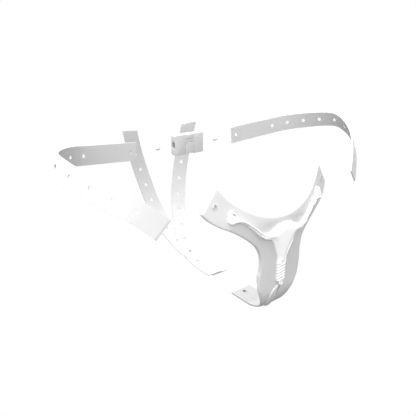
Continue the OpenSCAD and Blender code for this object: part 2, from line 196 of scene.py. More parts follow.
def make_knit():
    group, start, end = new_group("knit", "Stitch Scale")
    columns = group.nodes.new("ShaderNodeTexWave")
    columns.bands_direction = "X"
    columns.inputs["Distortion"].default_value = 0
    rows = group.nodes.new("ShaderNodeTexWave")
    rows.bands_direction = "Z"
    rows.inputs["Distortion"].default_value = 0
    shift = group.nodes.new("ShaderNodeMath")
    shift.operation = "MULTIPLY"
    shift.inputs[1].default_value = 3.1
    loops = group.nodes.new("ShaderNodeMath")
    loops.operation = "MULTIPLY"
    for texture in (columns, rows):
        group.links.new(start.outputs["Vector"], texture.inputs["Vector"])
        group.links.new(start.outputs["Stitch Scale"], texture.inputs["Scale"])
    group.links.new(columns.outputs["Fac"], shift.inputs[0])
    group.links.new(shift.outputs[0], rows.inputs["Phase Offset"])
    group.links.new(columns.outputs["Fac"], loops.inputs[0])
    group.links.new(rows.outputs["Fac"], loops.inputs[1])
    group.links.new(loops.outputs[0], end.inputs["Height"])
    add_tone(group, start, end, 60)
    return group


moulded_grain = make_moulded_grain()
knit = make_knit()
print("shared effects:", moulded_grain.name, knit.name)

# %% [markdown]
# ## Finishes
#
# Each finish is a Principled shader with the shared effect in front of it. The tone moves the
# colour a little between a clean and a slightly duller shade, and the roughness with it, which
# is what keeps a white piece from looking like flat paint. Every number that is the same all
# over is set on the shader's own socket. The shell has one more layer: a painted shade on the top
# of the foot, where the stem above shades it. The foot faces the bright sky and would otherwise wash out
# against the floor.

# %% Finishes
def finish(name, clean, dull_shade, rough, scale, bump, group=None, spread=0.08,
           metallic=0.0, coat=0.0, sheen=0.0):
    material = bpy.data.materials.new(name)
    material.use_nodes = True
    tree = material.node_tree
    shader = tree.nodes["Principled BSDF"]
    shader.inputs["Metallic"].default_value = metallic
    shader.inputs["Coat Weight"].default_value = coat
    shader.inputs["Sheen Weight"].default_value = sheen
    coords = tree.nodes.new("ShaderNodeTexCoord")
    effect = tree.nodes.new("ShaderNodeGroup")
    effect.node_tree = group or moulded_grain
    effect.inputs[1].default_value = scale
    colour = tree.nodes.new("ShaderNodeMix")
    colour.data_type = "RGBA"
    colour.inputs["A"].default_value = (*dull_shade, 1)
    colour.inputs["B"].default_value = (*clean, 1)
    shine = tree.nodes.new("ShaderNodeMapRange")
    shine.inputs["To Min"].default_value = rough + spread
    shine.inputs["To Max"].default_value = rough - spread
    relief = tree.nodes.new("ShaderNodeBump")
    relief.inputs["Strength"].default_value = 1
    relief.inputs["Distance"].default_value = bump
    tree.links.new(coords.outputs["Object"], effect.inputs["Vector"])
    tree.links.new(effect.outputs["Tone"], colour.inputs["Factor"])
    tree.links.new(effect.outputs["Tone"], shine.inputs["Value"])
    tree.links.new(effect.outputs["Height"], relief.inputs["Height"])
    tree.links.new(colour.outputs["Result"], shader.inputs["Base Color"])
    tree.links.new(shine.outputs["Result"], shader.inputs["Roughness"])
    tree.links.new(relief.outputs["Normal"], shader.inputs["Normal"])
    return material


def grey(level):
    return (level, level, level * 1.005)


shell_finish = finish("satin_shell", grey(0.63), grey(0.57), 0.50, 2600, 0.00003)
rib_finish = finish("smooth_rib", grey(0.90), grey(0.86), 0.42, 1800, 0.00001, coat=0.1)
strap_finish = finish("soft_strap", grey(0.63), grey(0.58), 0.58, 3200, 0.000006)
buckle_finish = finish("matt_buckle", grey(0.62), grey(0.56), 0.52, 3000, 0.00003)
dark_finish = finish("dark_inner", grey(0.14), grey(0.10), 0.45, 2400, 0.00003)
ball_finish = finish("polished_ball", grey(0.86), grey(0.82), 0.22, 900, 0.000003, coat=0.4)
cover_finish = finish("knitted_cover", grey(0.74), grey(0.62), 0.85, 260, 0.00018, group=knit, sheen=0.3)
edge_finish = finish("foam_edge", grey(0.80), grey(0.72), 0.80, 1500, 0.00008, sheen=0.2)
socket_finish = finish("matt_socket", grey(0.40), grey(0.32), 0.50, 2400, 0.00003)
metal_finish = finish("bright_metal", grey(0.78), grey(0.66), 0.28, 1600, 0.00001, metallic=1.0)

# The rib's yoke, folds and eyelet have the whitest finish. A faint glow, painted light since the
# rib is no lamp, lifts it a little further, and the folds' own copy of it goes without.
rib_shader = rib_finish.node_tree.nodes["Principled BSDF"]
rib_shader.inputs["Emission Color"].default_value = (1, 1, 1, 1)
rib_shader.inputs["Emission Strength"].default_value = 0.05

# The painted shade on the foot, where the stem above shades it, comes in behind the stem and
# below the curl. Along each axis it goes from none at the first number to full at the second, in metres.
PAINTED_SHADE_OVER_Y = (-0.062, -0.044)
PAINTED_SHADE_OVER_Z = (-0.112, -0.126)
shell_tree = shell_finish.node_tree
shell_shader = shell_tree.nodes["Principled BSDF"]
shell_colour = shell_shader.inputs["Base Color"].links[0].from_socket
where = shell_tree.nodes.new("ShaderNodeTexCoord")
shell_axes = shell_tree.nodes.new("ShaderNodeSeparateXYZ")
shell_tree.links.new(where.outputs["Object"], shell_axes.inputs["Vector"])
painted_shade_on_foot = shell_tree.nodes.new("ShaderNodeMath")
painted_shade_on_foot.operation = "MULTIPLY"
for slot, axis, (start, end) in ((0, "Y", PAINTED_SHADE_OVER_Y), (1, "Z", PAINTED_SHADE_OVER_Z)):
    reach = shell_tree.nodes.new("ShaderNodeMapRange")
    reach.inputs["From Min"].default_value = start
    reach.inputs["From Max"].default_value = end
    shell_tree.links.new(shell_axes.outputs[axis], reach.inputs["Value"])
    shell_tree.links.new(reach.outputs["Result"], painted_shade_on_foot.inputs[slot])
# The painted shade itself: a darker grey mixed into the shell's colour by that mask.
foot_painted_shade = shell_tree.nodes.new("ShaderNodeMix")
foot_painted_shade.data_type = "RGBA"
foot_painted_shade.inputs["B"].default_value = (*grey(0.42), 1)
shell_tree.links.new(painted_shade_on_foot.outputs["Value"], foot_painted_shade.inputs["Factor"])
shell_tree.links.new(shell_colour, foot_painted_shade.inputs["A"])
shell_tree.links.new(foot_painted_shade.outputs["Result"], shell_shader.inputs["Base Color"])

print("finishes:", len([m for m in bpy.data.materials if m.use_nodes]))

# %% [markdown]
# ## Tools of the bench
#
# Nearly every piece of a brace starts flat: sheet plastic, strap or foam is cut to an outline,
# its edges are rounded, and then it is bent to its shape. The same steps work in Blender. A
# circle is filled and its points are set on the outline, the face is extruded, holes are
# punched, a bevel rounds the rim while the faces are still few and clean, and then the plate is
# sliced into small squares so that it can bend. Rounding before slicing is what keeps the
# bevel even.

# %% Tools of the bench
mm = 0.001
ROUNDING_ANGLE = math.radians(50)
SMOOTH_ANGLE = math.radians(38)


def only(piece):
    bpy.ops.object.select_all(action="DESELECT")
    piece.select_set(True)
    bpy.context.view_layer.objects.active = piece


def apply(piece, kind, **settings):
    only(piece)
    bpy.ops.object.modifier_add(type=kind)
    modifier = piece.modifiers[-1]
    for key, value in settings.items():
        setattr(modifier, key, value)
    bpy.ops.object.modifier_apply(modifier=modifier.name)


def points_of(piece):
    flat = np.empty(3 * len(piece.data.vertices))
    piece.data.vertices.foreach_get("co", flat)
    return flat.reshape(-1, 3)


def set_points(piece, points):
    piece.data.vertices.foreach_set("co", np.ascontiguousarray(points).ravel())
    piece.data.update()


def cut_with(piece, cutter):
    apply(piece, "BOOLEAN", object=cutter, operation="DIFFERENCE", solver="EXACT")
    bpy.data.objects.remove(cutter)


def prism(name, outline, low, high):
    """A filled outline, in millimetres, pulled up from one depth to another."""
    bpy.ops.object.select_all(action="DESELECT")
    bpy.ops.mesh.primitive_circle_add(vertices=len(outline), fill_type="NGON")
    piece = bpy.context.object
    piece.name = piece.data.name = name
    set_points(piece, np.array([(x, v, low) for x, v in outline]) * mm)
    bpy.ops.object.mode_set(mode="EDIT")
    bpy.ops.mesh.select_all(action="SELECT")
    bpy.ops.mesh.extrude_region_move(TRANSFORM_OT_translate={"value": (0, 0, (high - low) * mm)})
    bpy.ops.mesh.select_all(action="SELECT")
    bpy.ops.mesh.normals_make_consistent(inside=False)
    bpy.ops.object.mode_set(mode="OBJECT")
    return piece


def punch(piece, places, radius):
    """Round holes straight through a flat plate."""
    cutters = []
    for x, v in places:
        bpy.ops.mesh.primitive_cylinder_add(
            vertices=32, radius=radius * mm, depth=0.05, location=(x * mm, v * mm, 0))
        cutters.append(bpy.context.object)
    for cutter in cutters:
        cutter.select_set(True)
    if len(cutters) > 1:
        bpy.ops.object.join()
    bpy.ops.object.transform_apply()
    cut_with(piece, bpy.context.object)


def round_face(piece, depth, radius, segments):
    """Rounds the rim of the flat face at one depth, in edit mode, while the plate is still one prism."""
    only(piece)
    piece.data.update()
    bpy.ops.object.mode_set(mode="EDIT")
    bpy.ops.mesh.select_mode(type="EDGE")
    bpy.ops.mesh.select_all(action="DESELECT")
    bpy.ops.object.mode_set(mode="OBJECT")
    at = np.abs(points_of(piece)[:, 2] - depth * mm) < 0.00001
    for edge in piece.data.edges:
        edge.select = bool(at[edge.vertices[0]] and at[edge.vertices[1]])
    bpy.ops.object.mode_set(mode="EDIT")
    bpy.ops.mesh.bevel(offset=radius * mm, segments=segments, clamp_overlap=True)
    bpy.ops.mesh.select_mode(type="VERT")
    bpy.ops.object.mode_set(mode="OBJECT")


def round_edges(piece, radius, segments=3):
    apply(piece, "BEVEL", width=radius * mm, segments=segments, limit_method="ANGLE",
          angle_limit=ROUNDING_ANGLE, miter_outer="MITER_ARC")


def slice_up(piece, step_x, step_v):
    """Cuts a flat plate into small squares, so that it can bend."""
    low, high = points_of(piece).min(0), points_of(piece).max(0)
    only(piece)
    bpy.ops.object.mode_set(mode="EDIT")
    for axis, step in ((0, step_x), (1, step_v)):
        normal = [0, 0, 0]
        normal[axis] = 1
        count = max(1, round((high[axis] - low[axis]) / (step * mm)))
        for k in range(1, count):
            at = [0, 0, 0]
            at[axis] = low[axis] + (high[axis] - low[axis]) * k / count
            bpy.ops.mesh.select_all(action="SELECT")
            bpy.ops.mesh.bisect(plane_co=at, plane_no=normal, threshold=0.000005)
    bpy.ops.object.mode_set(mode="OBJECT")


def smooth(piece, angle=SMOOTH_ANGLE):
    only(piece)
    bpy.ops.object.shade_smooth_by_angle(angle=angle)


def hand_over(piece, material, body, slot, *nodes):
    """Gives a finished piece its material and body, and hides the nodes it stands for. Its slot is not
    used.
    """
    piece.data.materials.clear()
    piece.data.materials.append(material)
    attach(piece, body)
    if nodes:
        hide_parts(*nodes)
    print(f"{piece.name}: {len(piece.data.polygons)} faces, rides on {body}")
    return piece


# %% [markdown]
# ## Curves and outlines
#
# An outline is a short list of points with a smooth curve through them, and arcs where the edge
# is round. The curve is the same kind that the engineering model uses, so both have one shape.

# %% Curves and outlines
def curve(points, steps):
    """A smooth curve through some points, with a number of steps from each to the next."""
    p = np.array(points, float)
    p = np.vstack([2 * p[0] - p[1], p, 2 * p[-1] - p[-2]])
    out = []
    for a, b, c, d in zip(p, p[1:], p[2:], p[3:]):
        for k in range(steps):
            t = k / steps
            out.append(0.5 * (2 * b + (c - a) * t + (2 * a - 5 * b + 4 * c - d) * t * t
                              + (3 * b - a - 3 * c + d) * t ** 3))
    return np.vstack([out, p[-2]])


def arc(centre, radius, start, end, steps):
    angles = np.radians(np.linspace(start, end, steps + 1))
    return np.column_stack([centre[0] + radius * np.cos(angles), centre[1] + radius * np.sin(angles)])


def flip(points):
    return np.array(points)[::-1] * (-1, 1)


def closed(*runs):
    """Joins runs of points into one outline and drops the points that repeat."""
    points = np.vstack(runs)
    keep = np.linalg.norm(points - np.roll(points, 1, 0), axis=1) > 0.02
    return points[keep]


def edge_distance(points, outline):
    """How far each point of a flat plate is from its outline, in millimetres."""
    start = np.array(outline)
    along = np.roll(start, -1, 0) - start
    offset = points[:, None, :2] / mm - start
    share = np.clip((offset * along).sum(-1) / (along * along).sum(-1), 0, 1)
    return np.linalg.norm(offset - along * share[..., None], axis=-1).min(1)


# %% [markdown]
# ## The bent sheet of the shell
#
# The shell is part of a surface of revolution: upright in the middle, leaning in a little at
# the arms, and curled back into a foot at the bottom. Anything that is flat, with x across and
# v up the sheet, is laid on it by one function. Below the start of the curl, v is the length
# along the section, so the foot keeps its true length. The driving sizes are in millimetres.

# %% The bent sheet of the shell
STEM_Y = -76.5
SHELL_R = 191
AXIS_Y = STEM_Y + SHELL_R
BEND_Z = -39.5
ARM_LEAN = 0.2
FOOT_Z = -139.2
CURL_R = 32.5
CURL_Z = FOOT_Z + CURL_R
SHELL_WALL = 2.4
LINER_WALL = 1.2


def lay_on_shell(piece):
    x, v, depth = points_of(piece).T / mm
    lean = ARM_LEAN * np.maximum(0, v - BEND_Z)
    turn = np.clip((CURL_Z - v) / CURL_R, 0, math.pi / 2)
    past = np.maximum(0, CURL_Z - v - CURL_R * math.pi / 2)
    radius = SHELL_R - lean - CURL_R + (CURL_R + depth) * np.cos(turn) - past
    z = np.maximum(v, CURL_Z) - (CURL_R + depth) * np.sin(turn)
    y = AXIS_Y - np.sqrt(radius ** 2 - x ** 2)
    set_points(piece, np.column_stack([x, y, z]) * mm)


def down_the_curl(points):
    """Heights below the start of the curl become lengths along the section."""
    out = np.array(points, float)
    low = out[:, 1] < CURL_Z
    out[low, 1] = CURL_Z - CURL_R * np.arcsin(np.clip((CURL_Z - out[low, 1]) / CURL_R, 0, 1))
    return out


# %% [markdown]
# ## Front shell
#
# The shell carries the rib, the liner and the grommets. It is one moulding, taken as 2.4 mm
# thick, with a soft, rounded rim. Its outline is a wide arc under the chin, two arms that reach back
# and a stem that narrows to the foot, lower on its left side than on its right. A narrow blind
# slot runs beside the rib's tail.

# %% Front shell
CHIN_R = 76
CHIN_C = (0, CHIN_R - 36.5)
ARM_TIP = (62.6, -3.6)
STEM_HALF = 26
FOOT_HALF = 12
ARM_HOLE = (66, -19)
ARM_HOLES = [ARM_HOLE, (-ARM_HOLE[0], ARM_HOLE[1])]
FOOT_TIP_Y = -22
FOOT_HOLE_Y = -27.6
SLOT_DEPTH = 1.9
GROMMET_HOLE_R = 2.2


def along_the_foot(y):
    """How far down the sheet a place on the flat foot lies."""
    return CURL_Z - CURL_R * math.pi / 2 - (SHELL_R - CURL_R - (AXIS_Y - y))


chin_angle = math.degrees(math.asin(ARM_TIP[0] / CHIN_R))
chin_arc = arc(CHIN_C, CHIN_R, -90 - chin_angle, -90 + chin_angle, 48)
ARM_LOW = [
    (76.6, -24.5), (71.5, -31), (63.5, -36.8), (54.5, -41.6), (45.5, -47.4), (36.5, -54.4), (29, -62.5)]
shell_side = down_the_curl(curve(ARM_LOW + [
    (STEM_HALF, -73), (STEM_HALF, -88), (STEM_HALF - 1.8, -101), (STEM_HALF - 6.4, -111),
    (FOOT_HALF + 3.2, -120.5), (FOOT_HALF + 0.6, -129), (FOOT_HALF, -134), (FOOT_HALF, FOOT_Z)], 4))
# The left side of the stem steps out and runs lower before it narrows.
shell_left = down_the_curl(curve(ARM_LOW + [
    (STEM_HALF - 1.2, -73), (STEM_HALF - 1.2, -86), (STEM_HALF, -91), (STEM_HALF, -103),
    (STEM_HALF - 1.8, -109.5), (STEM_HALF - 4.4, -116.4), (FOOT_HALF + 5, -126), (FOOT_HALF + 1, -132),
    (FOOT_HALF, -136), (FOOT_HALF, FOOT_Z)], 4))
foot_end = np.array([(FOOT_HALF, along_the_foot(FOOT_TIP_Y))])
shell_outline = closed(chin_arc, shell_side, foot_end, flip(foot_end), flip(shell_left))

shell = prism("front_shell_sheet", shell_outline, -SHELL_WALL, 0)
round_face(shell, 0, 1.4, 5)
round_face(shell, -SHELL_WALL, 0.3, 2)
punch(shell, ARM_HOLES, GROMMET_HOLE_R)
punch(shell, [(0, along_the_foot(FOOT_HOLE_Y))], GROMMET_HOLE_R)
slot_line = [
    (-1.2, -105), (0.2, -106.4), (-1.8, -111.4), (-3.2, -117), (-5, -117), (-4, -110.6), (-2.4, -105.6)]
cut_with(shell, prism("slot_cutter", down_the_curl(slot_line), -SLOT_DEPTH, 5))
slice_up(shell, 3, 2.5)
lay_on_shell(shell)
smooth(shell)
hand_over(shell, shell_finish, "shell", "shell_plastic", "front_shell")

# %% [markdown]
# ## Soft liner
#
# Behind the shell lies a thin foam pad in a knitted cover. A cloth simulation would need a
# thicker body than this, so the pad is a plate whose inner face is lifted in code: it swells
# quickly from its sewn edge, dips along its stitched channels, and is pinched round the two
# grommets.

# %% Soft liner
LINER_LOW = -98


def down_to(side, low):
    """The part of a side above a height, with a corner at that height."""
    corner = (np.interp(-low, -side[:, 1], side[:, 0]), low)
    return np.vstack([side[side[:, 1] >= low], corner])


liner_outline = closed(chin_arc, down_to(shell_side, LINER_LOW), flip(down_to(shell_left, LINER_LOW)))
PAD_WALL = SHELL_WALL + LINER_WALL

liner = prism("liner_pad", liner_outline, -PAD_WALL, -SHELL_WALL - 0.02)
round_edges(liner, 0.45, 3)
slice_up(liner, 1.6, 1.6)
points = points_of(liner)
inside = np.clip((-points[:, 2] / mm - SHELL_WALL - 0.3) / 0.9, 0, 1)
swell = 1.9 * (1 - np.exp(-edge_distance(points, liner_outline) / 2.6))
x, v = points[:, 0] / mm, points[:, 1] / mm
chin_run = np.hypot(x - CHIN_C[0], v - CHIN_C[1]) - CHIN_R
for channel in (chin_run - 8.5, chin_run - 9.9):
    swell -= 0.75 * np.exp(-(channel / 0.75) ** 2) * (swell > 0.9)
for middle_x in (-12.5, 12.5):
    swell -= 0.9 * np.exp(-((x - middle_x) / 0.9) ** 2) * (chin_run > 10) * (v > LINER_LOW + 4)
for side in (-1, 1):
    near = np.hypot(x - side * ARM_HOLE[0], v - ARM_HOLE[1])
    swell *= 1 - np.exp(-(near / 6.5) ** 4)
points[:, 2] -= inside * np.maximum(swell, 0) * mm
set_points(liner, points)
punch(liner, ARM_HOLES, GROMMET_HOLE_R)
lay_on_shell(liner)
smooth(liner, math.radians(60))
hand_over(liner, cover_finish, "shell", "liner", "pad_liner")

# %% [markdown]
# ## Padded rim under the chin
#
# A roll of foam runs along the cut-out where the chin rests. Its outline is the strip between
# two arcs. Its inner face is crowned like a bolster, highest along the middle of the strip.

# %% Padded rim under the chin
RIM_H = 4.5
RIM_END = 60
RIM_DEPTH = 5.7
RIM_ROUND = 1.7
rim_angle = math.degrees(math.asin(RIM_END / CHIN_R))
rim_outline = closed(
    arc(CHIN_C, CHIN_R, -90 - rim_angle, -90 + rim_angle, 48),
    arc(CHIN_C, CHIN_R + RIM_H, -90 + rim_angle, -90 - rim_angle, 48))
rim = prism("chin_rim", rim_outline, -RIM_DEPTH, -PAD_WALL + 0.6)
round_face(rim, -RIM_DEPTH, RIM_ROUND, 5)
slice_up(rim, 1.5, 1.2)
points = points_of(rim)
crown = np.sqrt(np.clip(edge_distance(points, rim_outline) / (RIM_H / 2), 0, 1))
points[:, 2] -= 0.6 * mm * crown * (points[:, 2] < -4.4 * mm)
set_points(rim, points)
lay_on_shell(rim)
smooth(rim, math.radians(60))
hand_over(rim, edge_finish, "shell", "liner", "chin_pad")

# %% [markdown]
# ## Rib: the yoke
#
# The rib is a white moulding on the front of the shell. Its top spreads into two arms that end
# in knuckles. The edges are rolled: they rise to a bead, dip into a shallow groove, and rise
# again to a broad crown. That profile depends on the distance from the edge, so it is one
# function of the distance, and the plate's top is scaled to it. The bead fades out over the
# middle of the yoke. Narrow slots are cut along the arms, in the knuckles and beside the neck.

# %% Rib: the yoke
RIB_SHIFT = -2
YOKE_LOW = -81.5
yoke_top = curve(
    [(0, -42.6), (7, -43.6), (14, -47.2), (20, -49.2), (26.5, -46.4), (34, -39.8), (41, -34.6),
     (46, -31.4), (49.4, -28.0), (51.6, -24.2), (53.8, -23.4), (55.4, -25.6), (56.4, -29.4),
     (57.0, -32.4), (55.4, -34.2), (52.6, -33.8), (48.5, -33.2)], 4)
yoke_low = curve(
    [(48.5, -33.2), (42, -36.6), (35.5, -42.4), (29, -49.4), (22.5, -54), (15, -56.6), (10.6, -63),
     (6.4, -71.5), (4.6, -76), (5, YOKE_LOW - 0.6)], 4)


def shifted(points):
    """The neck of the rib stands a little to one side, and its top comes back to the middle."""
    share = np.clip((points[:, 1] + 58) / (-74 + 58), 0, 1)
    return points + np.column_stack([RIB_SHIFT * share, 0 * share])


yoke_outline = shifted(closed(yoke_top, yoke_low, flip(yoke_low), flip(yoke_top)))
PLATE_H = 4.0


def rolled(distance, low, bead, crown, reach):
    """Height of a rolled moulding at a distance from its edge."""
    return (low + bead * np.exp(-((distance - 1.05) / 0.62) ** 2)
            + crown * (1 - np.exp(-(distance / reach) ** 2)))


def pit(x, v, start, end, width):
    """A soft groove between two points of a plate, 1 at its bottom and 0 away from it."""
    start, end = np.array(start), np.array(end)
    offset = np.column_stack([x, v]) - start
    share = np.clip(offset @ (end - start) / ((end - start) @ (end - start)), 0, 1)
    return np.exp(-(np.linalg.norm(offset - share[:, None] * (end - start), axis=1) / width) ** 2)


def raise_plate(piece, height):
    """Scales each point's depth so that the plate's top is at its own height."""
    points = points_of(piece)
    points[:, 2] *= height / PLATE_H
    points[:, 2] -= 0.3 * mm
    set_points(piece, points)


fork_slot = np.array([(54.6, -25.3), (53.2, -24.4), (49.0, -28.2), (49.9, -29.5)])
arm_line = curve([(53.2, -32.6), (46, -33.0), (40.4, -36.2), (35, -40.6), (29.4, -45.8), (24.4, -50.2)], 3)
arm_slot = closed(arm_line + (0, 0.35), arm_line[::-1] - (0.2, 0.4))
neck_line = curve([(20, -51.8), (13.4, -54.8), (8.9, -62), (5.0, -70.6), (3.4, -75.6)], 3)
neck_slot = shifted(closed(neck_line - (0.3, 0), neck_line[::-1] + (0.3, 0)))
yoke = prism("rib_yoke_moulding", yoke_outline, 0, PLATE_H)
round_edges(yoke, 0.6, 3)
for slot_shape in (flip(fork_slot), fork_slot, flip(arm_slot), arm_slot, neck_slot):
    cut_with(yoke, prism("slot_cutter", slot_shape, -5, 9))
slice_up(yoke, 0.7, 0.7)
points = points_of(yoke)
x, v = points[:, 0] / mm, points[:, 1] / mm
arms = np.clip((np.abs(x) - 16) / 8, 0, 1)
neck = np.clip((-57 - v) / 6, 0, 1) * (x > RIB_SHIFT)
height = rolled(edge_distance(points, yoke_outline), 2.5, 1.3 * np.maximum(arms, neck), 2.3, 3.2)
for side in (-1, 1):
    height -= 1.1 * pit(side * x, v, (40, -37.2), (27, -48.6), 0.7)
raise_plate(yoke, height)
lay_on_shell(yoke)
smooth(yoke, math.radians(60))
hand_over(yoke, rib_finish, "shell", "rib_plastic", "rib_yoke")

# %% [markdown]
# ## Rib: the folds, the eyelet and the tail
#
# Below the yoke the rib is folded like a hose, so that it can flex. Each fold is a broad crest
# with a sharp groove after it. The folds slope up to the right and droop at both ends. A small
# ring follows, started from a torus, and then a flat tail with rolled edges that runs down round
# the curl. White grooves this narrow fill with light, so shade is painted into the finish of the
# folds: it is darker along the same curves, and most of all towards the right.

# %% Rib: the folds, the eyelet and the tail
FOLD_COUNT = 6
FOLD_PITCH = 2.9
FOLD_HALF = 4.9
FOLD_SLOPE = 0.22
FOLD_DROOP = 0.06
FOLD_START = YOKE_LOW + 0.3
folds_low = YOKE_LOW - FOLD_COUNT * FOLD_PITCH - 0.6

fold_finish = rib_finish.copy()
fold_finish.name = "smooth_rib_folds"
fold_tree = fold_finish.node_tree
fold_shader = fold_tree.nodes["Principled BSDF"]
fold_shader.inputs["Emission Strength"].default_value = 0


def fold_step(operation, *values):
    """One sum in the finish of the folds. A value is a number or another sum's output."""
    node = fold_tree.nodes.new("ShaderNodeMath")
    node.operation = operation
    for socket, value in zip(node.inputs, values):
        if isinstance(value, bpy.types.NodeSocket):
            fold_tree.links.new(value, socket)
        else:
            socket.default_value = value
    return node.outputs["Value"]


fold_place = fold_tree.nodes.new("ShaderNodeTexCoord")
fold_axes = fold_tree.nodes.new("ShaderNodeSeparateXYZ")
fold_tree.links.new(fold_place.outputs["Object"], fold_axes.inputs["Vector"])
across = fold_step("SUBTRACT", fold_step("DIVIDE", fold_axes.outputs["X"], mm), RIB_SHIFT)
down = fold_step("SUBTRACT", FOLD_START, fold_step("DIVIDE", fold_axes.outputs["Z"], mm))
droop = fold_step("MULTIPLY", fold_step("MULTIPLY", across, across), -FOLD_DROOP)
slope = fold_step("MULTIPLY", across, FOLD_SLOPE)
turns = fold_step("DIVIDE", fold_step("ADD", fold_step("ADD", down, droop), slope), FOLD_PITCH)
# Painted shade in the grooves: a mask along the groove curves, stronger towards the right.
in_groove = fold_tree.nodes.new("ShaderNodeMapRange")
in_groove.inputs["From Min"].default_value = 0.19
in_groove.inputs["From Max"].default_value = 0.06
fold_tree.links.new(fold_step("PINGPONG", turns, 0.5), in_groove.inputs["Value"])
painted_shade_to_right = fold_tree.nodes.new("ShaderNodeMapRange")
painted_shade_to_right.inputs["From Min"].default_value = -4
painted_shade_to_right.inputs["From Max"].default_value = 1.5
painted_shade_to_right.inputs["To Min"].default_value = 0.35
fold_tree.links.new(across, painted_shade_to_right.inputs["Value"])
painted_groove_shade_mask = fold_step("MULTIPLY", in_groove.outputs["Result"], painted_shade_to_right.outputs["Result"])
# The painted groove shade mixes a dark grey into the colour by that mask.
painted_groove_shade = fold_tree.nodes.new("ShaderNodeMix")
painted_groove_shade.data_type = "RGBA"
painted_groove_shade.inputs["B"].default_value = (*grey(0.16), 1)
fold_tree.links.new(painted_groove_shade_mask, painted_groove_shade.inputs["Factor"])
fold_tree.links.new(fold_shader.inputs["Base Color"].links[0].from_socket, painted_groove_shade.inputs["A"])
fold_tree.links.new(painted_groove_shade.outputs["Result"], fold_shader.inputs["Base Color"])

fold_outline = [
    (RIB_SHIFT + FOLD_HALF, folds_low), (RIB_SHIFT + FOLD_HALF, YOKE_LOW + 0.6),
    (RIB_SHIFT - FOLD_HALF, YOKE_LOW + 0.6), (RIB_SHIFT - FOLD_HALF, folds_low)]
folds = prism("rib_folded_neck", fold_outline, 0, PLATE_H)
round_edges(folds, 0.6, 3)
slice_up(folds, 0.5, 0.24)
points = points_of(folds)
x, v = points[:, 0] / mm - RIB_SHIFT, points[:, 1] / mm
phase = (FOLD_START - v + FOLD_SLOPE * x - FOLD_DROOP * x ** 2) / FOLD_PITCH
fold = np.abs(np.sin(math.pi * phase)) ** 0.4
barrel = np.sqrt(np.clip(1 - (x / (FOLD_HALF + 0.6)) ** 2, 0.02, 1))
raise_plate(folds, 0.5 + barrel * (0.3 + 4.0 * fold))
lay_on_shell(folds)
smooth(folds, math.pi)
hand_over(folds, fold_finish, "shell", "rib_plastic", "rib_folds")

eyelet_v = folds_low - 2.6
bpy.ops.object.select_all(action="DESELECT")
bpy.ops.mesh.primitive_torus_add(
    location=(RIB_SHIFT * mm, eyelet_v * mm, 1.9 * mm), major_radius=1.75 * mm, minor_radius=0.7 * mm,
    major_segments=40, minor_segments=20)
eyelet = bpy.context.object
eyelet.name = eyelet.data.name = "rib_ring"
bpy.ops.object.mode_set(mode="EDIT")
bpy.ops.mesh.select_all(action="SELECT")
bpy.ops.transform.resize(value=(1, 1.12, 1.9), center_override=(RIB_SHIFT * mm, eyelet_v * mm, 1.9 * mm))
bpy.ops.object.mode_set(mode="OBJECT")
bpy.ops.object.transform_apply()
lay_on_shell(eyelet)
smooth(eyelet, math.radians(80))
hand_over(eyelet, rib_finish, "shell", "rib_plastic", "rib_eyelet")

tail_left = curve(
    [(-4.2, eyelet_v - 2.3), (-8.0, eyelet_v - 4.6), (-11, eyelet_v - 8), (-12.6, eyelet_v - 12),
     (-13, eyelet_v - 17), (-12.2, eyelet_v - 23), (-10, eyelet_v - 28)], 3)
tail_right = curve(
    [(-5.6, eyelet_v - 28), (-6, eyelet_v - 19), (-5.6, eyelet_v - 12.6), (-4.4, eyelet_v - 7.4),
     (-2.4, eyelet_v - 2.4)], 3)
tail_outline = down_the_curl(closed(tail_left, tail_right))
tail = prism("rib_tail_band", tail_outline, 0, PLATE_H)
round_edges(tail, 0.9, 3)
slice_up(tail, 0.7, 0.7)
points = points_of(tail)
raise_plate(tail, rolled(edge_distance(points, tail_outline), 1.1, 0.6, 0.4, 3))
lay_on_shell(tail)
smooth(tail, math.radians(60))
hand_over(tail, shell_finish, "shell", "rib_plastic", "rib_tail")

# %% [markdown]
# ## Straps
#
# A strap is cut from a flat band, punched, and its edges are softened. It is then bent along a
# route in space. At each length along the route there is a direction, a side and a face, and a
# flat point goes to the route's point plus its share of the side and the face. The routes are
# the engineering model's own, so the straps and their holes stay where that model has them.

# %% Straps
STRAP_W = 18.6
STRAP_T = 1.0
STRAP_SWELL = 0.1
STRAP_HOLE_R = 2.0


class Route:
    """A smooth route in space with a side that turns slowly from one direction to another."""

    def __init__(self, points, side_a, side_b):
        self.path = curve(points, 10)
        self.length = np.concatenate([[0], np.cumsum(np.linalg.norm(np.diff(self.path, axis=0), axis=1))])
        self.total = self.length[-1]
        self.side_a = np.array(side_a, float)
        self.side_b = np.array(side_b, float)

    def at(self, d):
        return np.column_stack([np.interp(d, self.length, self.path[:, k]) for k in range(3)])

    def frame_at(self, d):
        along = self.at(np.minimum(self.total, d + 2)) - self.at(np.maximum(0, d - 2))
        along /= np.linalg.norm(along, axis=1)[:, None]
        share = (d / self.total)[:, None]
        share = share * share * (3 - 2 * share)
        side = self.side_a + (self.side_b - self.side_a) * share
        side -= along * (side * along).sum(1)[:, None]
        side /= np.linalg.norm(side, axis=1)[:, None]
        return side, np.cross(along, side)

    def place(self, d, across, out):
        side, face = self.frame_at(d)
        return self.at(d) + side * across[:, None] + face * out[:, None]


